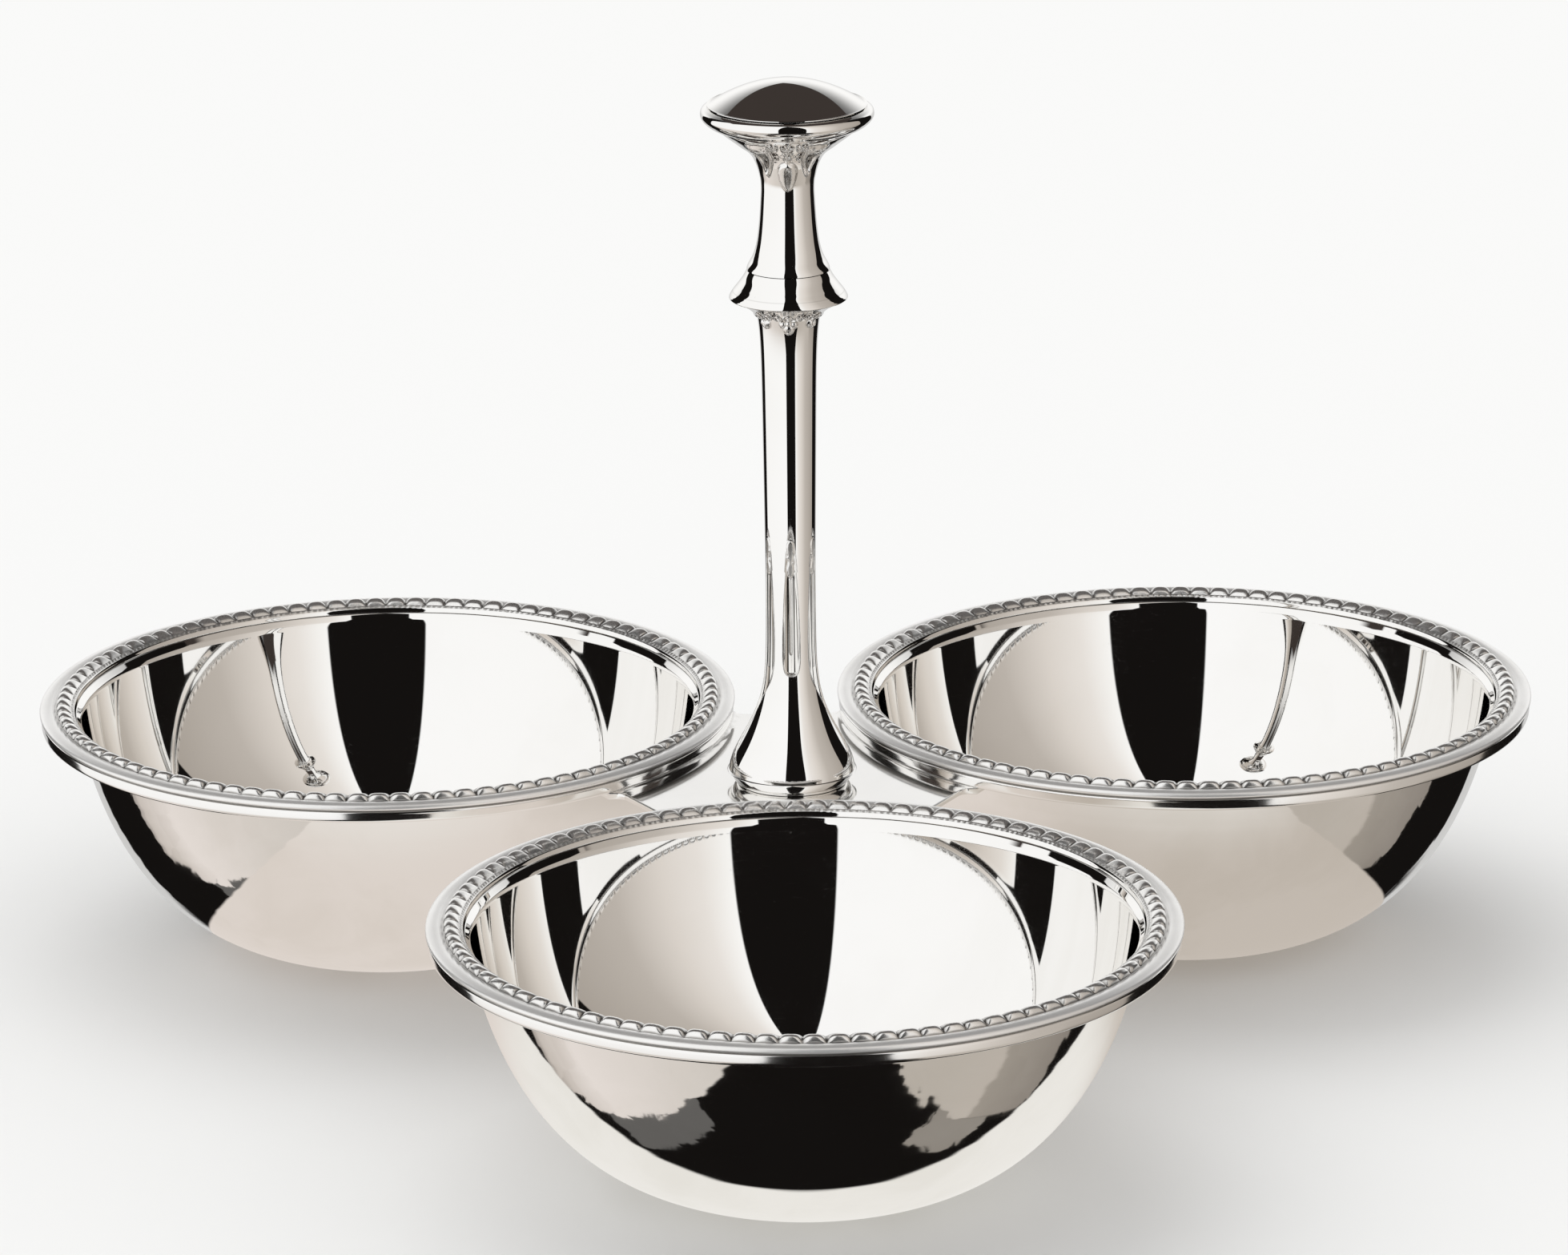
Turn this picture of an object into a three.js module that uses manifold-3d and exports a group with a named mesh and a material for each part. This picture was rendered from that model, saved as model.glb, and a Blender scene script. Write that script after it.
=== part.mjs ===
// Three round bowls with lobed rims, soldered to one thin three-pointed plate, with a tall handle in the middle.
// Millimetres, +Z up. The origin is on the surface that the bowls stand on, under the middle of the outline.
import * as THREE from "three";
import { mergeVertices } from "three/addons/utils/BufferGeometryUtils.js";
import Module from "manifold-3d";

const wasm = await Module();
wasm.setup();

// The layout of the three bowls round the handle
const rimGap = 19.3; // clear gap between neighbouring borders
const bowlAngles = { front: -90, right: 30, left: 150 }; // degrees from +X

// One bowl, spun from sheet
const rimRadius = 65; // outer edge of the border
const seamHeight = 45.4; // standing surface to the seam between band and border
const sheet = 0.9; // thickness of the spun sheet
const borderWidth = 7.7; // border's outer edge to the inside of the wall
const creaseDrop = 1.2; // the mouth's crease lies this far below the seam
const mouthFlare = 0.85; // width of the short flare from the crease to the flange
const bandInset = 0.3; // the turned-down band lies this far inside the border's edge
const bandDrop = 2.2; // height of the turned-down band
const baseRadius = 13.2; // flat base that the bowl stands on
const bodyPower = 2.42; // 2 is a true ellipse, more is squarer
const equatorRise = 25.5; // the body's curve would be widest this far above the seam, so its mouth still opens

// The lobed border on each flange
const lobeFlank = 0.3; // share of the lobes' width that each flank takes
const borderClear = 0.1; // border's inner foot to the end of the mouth's flare
const lobeInset = 2.9; // border's outer edge to the lobes' outer foot
const lobeWidth = 3.4;
const lobeRise = 1.3; // the lobes' crest above their two feet
const rollRise = 0.9; // the lobes' feet above the seam
const rollShoulder = 0.5; // the outer roll's shoulder above the seam
const rollShoulderInset = 0.4;

// The plate that joins the bowls
const plateThickness = 1.1;
const plateLap = 3.2; // how far the plate reaches in under each band
const plateTips = [
  { angle: -30, inset: 13.1 },
  { angle: 90, inset: 3.1 },
  { angle: 210, inset: 13.1 },
]; // where each point looks, and how far it stops short of the narrowest place between two bowls
const tipFillet = 2.5; // solder fillet in each corner beside a point

// The handle's pieces, each with its own height
const footRingHeight = 2.2;
const footRingTopRadius = 11;
const footRingBottomRadius = 10.2;
const stemHeight = 85.6;
const stemFootRadius = 11.9;
const stemWaistRadius = 4.55;
const stemTopRadius = 5.7;
const stemFlareHeight = 9; // height scale of the trumpet's flare
const stemFlarePower = 1.85;
const stemWaistShare = 0.45; // the waist ends and the stem widens from this share of its height
const stemLipShare = 0.55; // share of the widening that comes in the short lip at the top
const stemLipPower = 12;
const collarHeight = 8.25;
const collarBottomRadius = 6.2;
const collarRadius = 10.65;
const collarTopRadius = 7.5;
const neckHeight = 26.05;
const neckFootRadius = 7.6;
const neckWaistRadius = 4.8;
const neckTopRadius = 12.5;
const knobRollHeight = 3.9;
const knobRadius = 15.5;
const knobSeamRadius = 14.4;
const knobTuck = 0.6; // the roll draws in by this much where it turns under
const domeHeight = 4.55;
const domeInset = 0.2; // the dome's edge lies this far inside the knob's seam
const handleWall = 1.2; // wall of the hollow pieces

// Tapered spigots that centre the hollow pieces on their neighbours
const spigotLength = 2.5;
const spigotTaper = 0.7;
const spigotClear = 0.3;
const footSpigotLength = 1.2;
const neckSpigotLength = 1.5; // short, because the neck draws in quickly above its foot
const neckSpigotTaper = 0.8;

// Six reeds on the stem
const reedCount = 6;
const reedBottom = 18.7; // above the stem's foot
const reedLength = 17.2;
const reedWidth = 2.8;
const reedProud = 0.7; // how far a reed stands out of the stem
const reedSides = 6;

// Rod and fasteners
const rodRadius = 2;
const rodClear = 0.3;
const boreClear = 1.1; // least gap between the rod and the inside of a hollow piece
const rodBelowNut = 1.5;
const rodIntoBoss = 3.2;
const bossRadius = 4;
const bossHeight = 3.8;
const washerRadius = 5;
const washerThickness = 0.8;
const nutAcrossFlats = 7;
const nutThickness = 3.2;

// Fineness of the round forms
const bowlSides = 48;
const handleSides = 24;
const knobSides = 36;
const rodSides = 16;
const bodySteps = 8;

// The bowls' axes stand on a circle round the handle, a third of a turn apart.
const degrees = Math.PI / 180;
const bowlRing = (rimRadius + rimGap / 2) / Math.sin(60 * degrees);

// One bowl stands before the handle and two behind, so the handle stands a little behind the outline's middle.
const handleAxis = new THREE.Vector2(0, bowlRing / 4);

// Heights worked out from the pieces that stand on one another
const plateTop = seamHeight - bandDrop;
const plateBottom = plateTop - plateThickness;
const stemFoot = plateTop + footRingHeight;
const collarFoot = stemFoot + stemHeight;
const neckFoot = collarFoot + collarHeight;
const knobFoot = neckFoot + neckHeight;
const knobSeam = knobFoot + knobRollHeight;
const boreRadius = rodRadius + rodClear;
const hollowRadius = rodRadius + boreClear;
const bandRadius = rimRadius - bandInset;
const mouthRadius = rimRadius - borderWidth;
const wallRadius = mouthRadius + sheet;
const flangeFoot = mouthRadius + mouthFlare;

const silver = new THREE.MeshStandardMaterial({ color: 0xd9d6d0, roughness: 0.08, metalness: 1 });
const satinSilver = new THREE.MeshStandardMaterial({ color: 0xc9c6c0, roughness: 0.35, metalness: 1 });
const plainSteel = new THREE.MeshStandardMaterial({ color: 0x8d8d8a, roughness: 0.45, metalness: 1 });

const dish = new THREE.Group();
const handle = new THREE.Group();
handle.position.set(handleAxis.x, handleAxis.y, 0);
dish.add(handle);

function addMesh(parent, name, geometry, material) {
  const mesh = new THREE.Mesh(geometry, material);
  mesh.name = name;
  parent.add(mesh);
  return mesh;
}

// Turns an outline of [radius, height] pairs, run anticlockwise, round the Z axis.
function turned(outline, sides) {
  const points = outline.map(([radius, height]) => new THREE.Vector2(radius, height));
  return new THREE.LatheGeometry(points, sides).rotateX(Math.PI / 2);
}

function closed(outline) {
  return [...outline, outline[0]];
}

// A tube open at both ends, from its outside run upwards. Its wall is even but leaves room for the rod.
function hollow(outside) {
  const inside = outside.map(([radius, height]) => [Math.max(radius - handleWall, hollowRadius), height]);
  return turned(closed([...outside, ...inside.reverse()]), handleSides);
}

function smooth(points, steps) {
  const curve = new THREE.SplineCurve(points.map(([x, y]) => new THREE.Vector2(x, y)));
  return curve.getPoints(steps).map((point) => [point.x, point.y]);
}

// The lower part of a rounded section, from the edge of the flat base up to the wall's radius at the top.
function bodySection(wall, bottom, top) {
  const equator = seamHeight + equatorRise;
  const end = Math.acos(((equator - top) / (equator - bottom)) ** (bodyPower / 2));
  const reach = (wall - baseRadius) / Math.sin(end) ** (2 / bodyPower);
  const points = [];
  for (let i = 0; i <= bodySteps; i++) {
    const turn = (i / bodySteps) * end;
    const out = Math.sin(turn) ** (2 / bodyPower);
    const down = Math.cos(turn) ** (2 / bodyPower);
    points.push([baseRadius + reach * out, equator - (equator - bottom) * down]);
  }
  return points;
}

function bowlGeometry() {
  const underFlange = seamHeight - sheet;
  const outside = bodySection(wallRadius, 0, underFlange);
  const inside = bodySection(mouthRadius, sheet, seamHeight - creaseDrop).reverse();
  return turned(
    [
      [0, 0],
      ...outside,
      [bandRadius - sheet, underFlange],
      [bandRadius - sheet, seamHeight - bandDrop],
      [bandRadius, seamHeight - bandDrop],
      [bandRadius, seamHeight],
      [flangeFoot, seamHeight],
      ...inside,
      [0, sheet],
    ],
    bowlSides,
  );
}

function borderGeometry() {
  const lobesOuter = rimRadius - lobeInset;
  const lobesInner = lobesOuter - lobeWidth;
  const feet = seamHeight + rollRise;
  return turned(
    closed([
      [flangeFoot + borderClear, seamHeight],
      [rimRadius, seamHeight],
      [rimRadius - rollShoulderInset, seamHeight + rollShoulder],
      [lobesOuter, feet],
      [lobesOuter - lobeWidth * lobeFlank, feet + lobeRise],
      [lobesInner + lobeWidth * lobeFlank, feet + lobeRise],
      [lobesInner, feet],
    ]),
    bowlSides,
  );
}

// The plate's corner beside one point: the line across the point, the fillet, and the lap under a band.
// side is +1 or -1 for the bowl on the left or the right of someone looking out along the point.
function tipCorner(tip, side) {
  const along = new THREE.Vector2(Math.cos(tip.angle * degrees), Math.sin(tip.angle * degrees));
  const across = new THREE.Vector2(-along.y, along.x).multiplyScalar(side);
  const bowlOut = bowlRing * Math.cos(60 * degrees);
  const bowlAside = bowlRing * Math.sin(60 * degrees);
  const place = (out, aside) => along.clone().multiplyScalar(out).addScaledVector(across, aside);
  const bowl = place(bowlOut, bowlAside);
  const centreOut = bowlOut - tip.inset + tipFillet;
  const centreAside = bowlAside - Math.sqrt((bandRadius + tipFillet) ** 2 - (centreOut - bowlOut) ** 2);
  const centre = place(centreOut, centreAside);
  const toBowl = bowl.clone().sub(centre).normalize();
  const points = [];
  const steps = 4;
  for (let i = 0; i <= steps; i++) {
    const direction = along
      .clone()
      .negate()
      .multiplyScalar(1 - i / steps)
      .addScaledVector(toBowl, i / steps)
      .normalize();
    points.push(centre.clone().addScaledVector(direction, tipFillet));
  }
  const lap = bowl.clone().addScaledVector(toBowl, plateLap - bandRadius);
  return { points, lap, bowl };
}

function plateGeometry() {
  const outline = [];
  const lapSteps = 14;
  plateTips.forEach((tip, index) => {
    const before = tipCorner(tip, -1);
    const after = tipCorner(tip, 1);
    const next = tipCorner(plateTips[(index + 1) % plateTips.length], -1);
    outline.push(before.lap, ...before.points.reverse(), ...after.points, after.lap);
    const start = after.lap.clone().sub(after.bowl).angle();
    let end = next.lap.clone().sub(after.bowl).angle();
    if (end > start) end -= 2 * Math.PI;
    for (let i = 1; i < lapSteps; i++) {
      const angle = start + ((end - start) * i) / lapSteps;
      const reach = bandRadius - plateLap;
      outline.push(
        new THREE.Vector2(Math.cos(angle) * reach, Math.sin(angle) * reach).add(after.bowl),
      );
    }
  });
  const shape = new THREE.Shape(outline);
  shape.holes.push(new THREE.Path().absarc(0, 0, boreRadius, 0, 2 * Math.PI, true));
  return new THREE.ExtrudeGeometry(shape, {
    depth: plateThickness,
    bevelEnabled: false,
    curveSegments: rodSides,
  });
}

function footRingGeometry() {
  const spigot = stemFootRadius - handleWall - spigotClear;
  return turned(
    closed([
      [boreRadius, plateTop],
      [footRingBottomRadius, plateTop],
      [footRingTopRadius, stemFoot - footRingHeight / 3],
      [footRingTopRadius, stemFoot],
      [spigot, stemFoot],
      [spigot - footSpigotLength / 2, stemFoot + footSpigotLength],
      [boreRadius, stemFoot + footSpigotLength],
    ]),
    handleSides,
  );
}

// Radius of the trumpet at a height above its foot: a flare, a waist and a slow widening to the top.
function stemRadius(height) {
  const flare = Math.exp(-((height / stemFlareHeight) ** stemFlarePower));
  const widening = Math.max(0, height / stemHeight - stemWaistShare) / (1 - stemWaistShare);
  const lip = (1 - stemLipShare) * widening + stemLipShare * widening ** stemLipPower;
  return (
    stemWaistRadius +
    (stemFootRadius - stemWaistRadius) * flare +
    (stemTopRadius - stemWaistRadius) * lip
  );
}

function stemGeometry() {
  const shares = [0, 0.02, 0.04, 0.07, 0.1, 0.14, 0.19, 0.27, 0.45, 0.7, 0.9, 0.96, 1];
  const heights = shares.map((share) => share * stemHeight);
  return hollow(heights.map((height) => [stemRadius(height), stemFoot + height]));
}

function solidFrom(geometry) {
  const bare = geometry.index ? geometry.toNonIndexed() : geometry.clone();
  bare.deleteAttribute("normal");
  bare.deleteAttribute("uv");
  const merged = mergeVertices(bare, 1e-3);
  const mesh = new wasm.Mesh({
    numProp: 3,
    vertProperties: new Float32Array(merged.attributes.position.array),
    triVerts: new Uint32Array(merged.index.array),
  });
  return new wasm.Manifold(mesh);
}

function geometryFrom(solid) {
  const mesh = solid.getMesh();
  const geometry = new THREE.BufferGeometry();
  geometry.setAttribute("position", new THREE.BufferAttribute(new Float32Array(mesh.vertProperties), 3));
  geometry.setIndex(new THREE.BufferAttribute(new Uint32Array(mesh.triVerts), 1));
  geometry.computeVertexNormals();
  return geometry;
}

// The stem with its reeds: long drops let into its wall, short of its bore.
function reededStemGeometry() {
  let stem = solidFrom(stemGeometry());
  const middle = reedBottom + reedLength / 2;
  for (let i = 0; i < reedCount; i++) {
    const angle = -90 * degrees + (i * 2 * Math.PI) / reedCount;
    const reed = new THREE.SphereGeometry(1, reedSides, reedSides).rotateX(Math.PI / 2);
    reed.scale(reedProud * 2, reedWidth / 2, reedLength / 2);
    reed.translate(stemRadius(middle) - reedProud, 0, stemFoot + middle);
    reed.rotateZ(angle);
    stem = stem.add(solidFrom(reed));
  }
  const bore = turned(
    [
      [0, stemFoot + reedBottom],
      [hollowRadius, stemFoot + reedBottom],
      [hollowRadius, stemFoot + reedBottom + reedLength],
      [0, stemFoot + reedBottom + reedLength],
    ],
    handleSides,
  );
  return geometryFrom(stem.subtract(solidFrom(bore)));
}

function collarGeometry() {
  const lower = stemTopRadius - handleWall - spigotClear;
  const upper = neckFootRadius - handleWall - spigotClear;
  const under = (share, rise) => [
    collarBottomRadius + (collarRadius - collarBottomRadius) * share,
    collarFoot + collarHeight * rise,
  ];
  const over = (share, rise) => [
    collarTopRadius + (collarRadius - collarTopRadius) * share,
    collarFoot + collarHeight * rise,
  ];
  return turned(
    closed([
      [boreRadius, collarFoot - spigotLength],
      [lower - spigotTaper, collarFoot - spigotLength],
      [lower, collarFoot],
      under(0, 0),
      under(0.45, 0.2),
      under(0.9, 0.31),
      under(1, 0.39),
      over(0.62, 0.6),
      over(0.17, 0.85),
      over(0, 1),
      [upper, neckFoot],
      [upper - neckSpigotTaper, neckFoot + neckSpigotLength],
      [boreRadius, neckFoot + neckSpigotLength],
    ]),
    handleSides,
  );
}

function neckGeometry() {
  const steps = 16;
  const below = (share, rise) => [
    neckWaistRadius + (neckFootRadius - neckWaistRadius) * share,
    neckFoot + neckHeight * rise,
  ];
  const above = (share, rise) => [
    neckWaistRadius + (neckTopRadius - neckWaistRadius) * share,
    neckFoot + neckHeight * rise,
  ];
  const outside = [
    below(1, 0),
    below(0.6, 0.086),
    below(0.3, 0.186),
    below(0.1, 0.363),
    below(0, 0.578),
    above(0.16, 0.777),
    above(0.47, 0.87),
    above(0.68, 0.917),
    above(1, 1),
  ];
  return hollow(smooth(outside, steps));
}

function knobBaseGeometry() {
  const floor = knobFoot + sheet;
  const shell = (inset, rise) => [knobRadius - inset, knobFoot + knobRollHeight * rise];
  return turned(
    closed([
      [boreRadius, knobFoot],
      [neckTopRadius, knobFoot],
      shell(knobTuck, 0.36),
      shell(0, 0.55),
      shell(knobTuck / 2, 0.8),
      [knobSeamRadius, knobSeam],
      [knobSeamRadius - sheet, knobSeam],
      shell(sheet, 0.58),
      shell(knobTuck + sheet, 0.42),
      [neckTopRadius - sheet, floor],
      [boreRadius, floor],
    ]),
    knobSides,
  );
}

function domeGeometry() {
  const edge = knobSeamRadius - domeInset;
  const steps = 6;
  const arch = (radius, height) => {
    const points = [];
    for (let i = 0; i <= steps; i++) {
      const share = 1 - i / steps;
      points.push([radius * share, knobSeam + height * (1 - share ** 2)]);
    }
    return points;
  };
  const outside = arch(edge, domeHeight);
  const inside = arch(edge - sheet, domeHeight - sheet).reverse();
  return turned([...inside, ...outside], knobSides);
}

function ringGeometry(inner, outer, bottom, top, sides) {
  return turned(
    closed([
      [inner, bottom],
      [outer, bottom],
      [outer, top],
      [inner, top],
    ]),
    sides,
  );
}

function rodGeometry() {
  const bottom = plateBottom - washerThickness - nutThickness - rodBelowNut;
  const top = knobFoot + sheet + rodIntoBoss;
  return turned(
    [
      [0, bottom],
      [rodRadius, bottom],
      [rodRadius, top],
      [0, top],
    ],
    rodSides,
  );
}

function nutGeometry() {
  const corner = nutAcrossFlats / 2 / Math.cos(30 * degrees);
  const outline = [];
  for (let i = 0; i < 6; i++) {
    const angle = 60 * i * degrees;
    outline.push(new THREE.Vector2(Math.cos(angle) * corner, Math.sin(angle) * corner));
  }
  const shape = new THREE.Shape(outline);
  shape.holes.push(new THREE.Path().absarc(0, 0, boreRadius, 0, 2 * Math.PI, true));
  return new THREE.ExtrudeGeometry(shape, {
    depth: nutThickness,
    bevelEnabled: false,
    curveSegments: rodSides,
  });
}

for (const [side, angle] of Object.entries(bowlAngles)) {
  const place = new THREE.Group();
  place.position.set(
    handleAxis.x + bowlRing * Math.cos(angle * degrees),
    handleAxis.y + bowlRing * Math.sin(angle * degrees),
    0,
  );
  dish.add(place);
  addMesh(place, `bowl_${side}`, bowlGeometry(), silver);
  addMesh(place, `border_${side}`, borderGeometry(), satinSilver);
}

addMesh(handle, "link_plate", plateGeometry(), silver).position.z = plateBottom;
addMesh(handle, "foot_ring", footRingGeometry(), silver);
addMesh(handle, "stem", reededStemGeometry(), silver);
addMesh(handle, "collar", collarGeometry(), silver);
addMesh(handle, "neck", neckGeometry(), silver);
addMesh(handle, "knob_base", knobBaseGeometry(), silver);
addMesh(handle, "knob_dome", domeGeometry(), silver);
addMesh(handle, "tie_rod", rodGeometry(), plainSteel);

const bossFoot = knobFoot + sheet;
const bossGeometry = ringGeometry(boreRadius, bossRadius, bossFoot, bossFoot + bossHeight, rodSides);
addMesh(handle, "knob_boss", bossGeometry, plainSteel);

const washerFoot = plateBottom - washerThickness;
const washerGeometry = ringGeometry(boreRadius, washerRadius, washerFoot, plateBottom, rodSides);
addMesh(handle, "washer", washerGeometry, plainSteel);
addMesh(handle, "nut", nutGeometry(), plainSteel).position.z = washerFoot - nutThickness;

export default dish;
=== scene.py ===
# Silver-plated serving dish: three bowls with lobed rims, soldered to one plate, with a tall turned handle.
# Sizes in the dictionaries are millimetres and degrees; +Z is up and the front bowl faces -Y.
from math import acos, cos, pi, radians, sin, sqrt

import bpy
import numpy as np
from mathutils import Matrix, Vector


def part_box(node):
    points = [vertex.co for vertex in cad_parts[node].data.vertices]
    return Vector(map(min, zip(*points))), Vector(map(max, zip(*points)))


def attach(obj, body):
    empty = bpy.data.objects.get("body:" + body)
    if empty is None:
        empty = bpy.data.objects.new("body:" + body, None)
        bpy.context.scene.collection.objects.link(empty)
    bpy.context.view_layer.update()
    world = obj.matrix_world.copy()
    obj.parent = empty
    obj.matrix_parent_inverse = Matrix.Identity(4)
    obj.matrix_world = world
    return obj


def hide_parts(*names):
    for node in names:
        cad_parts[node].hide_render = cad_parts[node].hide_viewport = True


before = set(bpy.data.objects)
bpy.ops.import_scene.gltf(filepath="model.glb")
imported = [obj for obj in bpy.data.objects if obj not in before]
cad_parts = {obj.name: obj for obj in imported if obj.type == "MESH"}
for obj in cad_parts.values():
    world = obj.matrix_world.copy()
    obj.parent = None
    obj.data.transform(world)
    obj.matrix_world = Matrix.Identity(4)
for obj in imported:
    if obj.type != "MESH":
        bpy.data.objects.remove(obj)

mm = 0.001
scene = bpy.context.scene
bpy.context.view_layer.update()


def nodeBox(node):
    low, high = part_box(node)
    return np.array(low) / mm, np.array(high) / mm


# Places that the frame settles
sides = ("front", "right", "left")
bowlAxes = {side: (sum(nodeBox(f"bowl_{side}")) / 2)[:2] for side in sides}
handleAxis = (sum(nodeBox("stem")) / 2)[:2]
level = {
    "seam": nodeBox("border_front")[0][2],
    "plateBottom": nodeBox("link_plate")[0][2],
    "plateTop": nodeBox("link_plate")[1][2],
    "knobSeam": nodeBox("knob_dome")[0][2],
    "top": nodeBox("knob_dome")[1][2],
}
print("frame read: seam at", round(level["seam"], 2), "mm, top at", round(level["top"], 2), "mm")


# Shader helpers: they take sockets or plain numbers, and give back the socket that they made
def plug(socket, value):
    if isinstance(value, bpy.types.NodeSocket):
        socket.id_data.links.new(value, socket)
    else:
        socket.default_value = value


openTrees = []  # the last one is being wired


def openTree(owner):
    owner.use_nodes = True
    openTrees.append(owner.node_tree)
    return owner.node_tree.nodes


def fill(node, inputs):
    # inputs go by name or by place
    for socket, value in inputs.items():
        plug(node.inputs[socket], value)


def newNode(kind, inputs=None, give=0, **settings):
    # gives back one output, or the node itself for None
    node = openTrees[-1].nodes.new("ShaderNode" + kind)
    for setting, value in settings.items():
        setattr(node, setting, value)
    fill(node, inputs or {})
    return node if give is None else node.outputs[give]


def calc(operation, *values):
    return newNode("Math", dict(enumerate(values)), operation=operation)


def plus(first, second):
    return calc("ADD", first, second)


def minus(first, second):
    return calc("SUBTRACT", first, second)


def times(value, *others):
    for other in others:
        value = calc("MULTIPLY", value, other)
    return value


def fade(value, start, end, low=0, high=1, curve="SMOOTHSTEP"):
    inputs = {"Value": value, "From Min": start, "From Max": end, "To Min": low, "To Max": high}
    return newNode("MapRange", inputs, interpolation_type=curve)


def blendColour(share, first, second):
    return newNode("Mix", {"Factor": share, "A": first, "B": second}, "Result", data_type="RGBA")


def ramp(value, stops):
    # stops are (real value, colour)
    first, last = stops[0][0], stops[-1][0]
    node = newNode("ValToRGB", {0: fade(value, first, last, 0, 1, "LINEAR")}, None)
    bar = node.color_ramp
    while len(bar.elements) < len(stops):
        bar.elements.new(0.5)
    for element, (place, colour) in zip(bar.elements, stops):
        element.position = (place - first) / (last - first)
        element.color = (*colour, 1)
    return node.outputs["Color"]


def noise(vector, scale, detail=2, roughness=0.5, distortion=0):
    inputs = {
        "Vector": vector, "Scale": scale, "Detail": detail, "Roughness": roughness, "Distortion": distortion,
    }
    return newNode("TexNoise", inputs, "Fac")


def stretched(vector, turn, scale):
    inputs = {"Vector": vector, "Rotation": [radians(angle) for angle in turn], "Scale": scale}
    return newNode("Mapping", inputs)


def attribute(name):
    return newNode("Attribute", give="Fac", attribute_name=name)


def objectPlace():
    # in millimetres
    return stretched(newNode("TexCoord", give="Object"), (0, 0, 0), (1 / mm, 1 / mm, 1 / mm))


def separated(vector):
    return newNode("SeparateXYZ", {0: vector}, None).outputs


def combined(*parts):
    return newNode("CombineXYZ", dict(enumerate(parts)))


def mixShaders(share, first, second):
    return newNode("MixShader", {0: share, 1: first, 2: second})


def addObject(name, data):
    thing = bpy.data.objects.new(name, data)
    scene.collection.objects.link(thing)
    return thing


# Camera
view = {
    "azimuth": -1.267, "elevation": 17.008, "roll": -0.45,
    "distance": 1368.4,
    "aside": -1.26,  # aim, across from the handle
    "aimHeight": 72.22,
    "focalPixels": 9433, "pictureWidth": 1958,
    "sensor": 36,
    "clip": (10, 50000),
}


def makeCamera(v):
    a, e, r = (radians(v[key]) for key in ("azimuth", "elevation", "roll"))
    back = Vector((sin(a) * cos(e), -cos(a) * cos(e), sin(e)))
    aimX = handleAxis[0] + v["aside"] * cos(a)
    aimY = handleAxis[1] + v["aside"] * sin(a)
    aim = Vector((aimX, aimY, v["aimHeight"]))
    right = (-back).cross(Vector((0, 0, 1))).normalized()
    up = right.cross(-back)
    rolledRight = right * cos(r) + up * sin(r)
    rolledUp = up * cos(r) - right * sin(r)
    data = bpy.data.cameras.new("camera")
    data.sensor_width = v["sensor"]
    data.sensor_fit = "HORIZONTAL"
    data.lens = v["focalPixels"] / v["pictureWidth"] * v["sensor"]
    data.clip_start, data.clip_end = (distance * mm for distance in v["clip"])
    camera = addObject("camera", data)
    turn = Matrix((rolledRight, rolledUp, back)).transposed().to_4x4()
    camera.matrix_world = Matrix.Translation((aim + back * v["distance"]) * mm) @ turn
    scene.camera = camera


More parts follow.
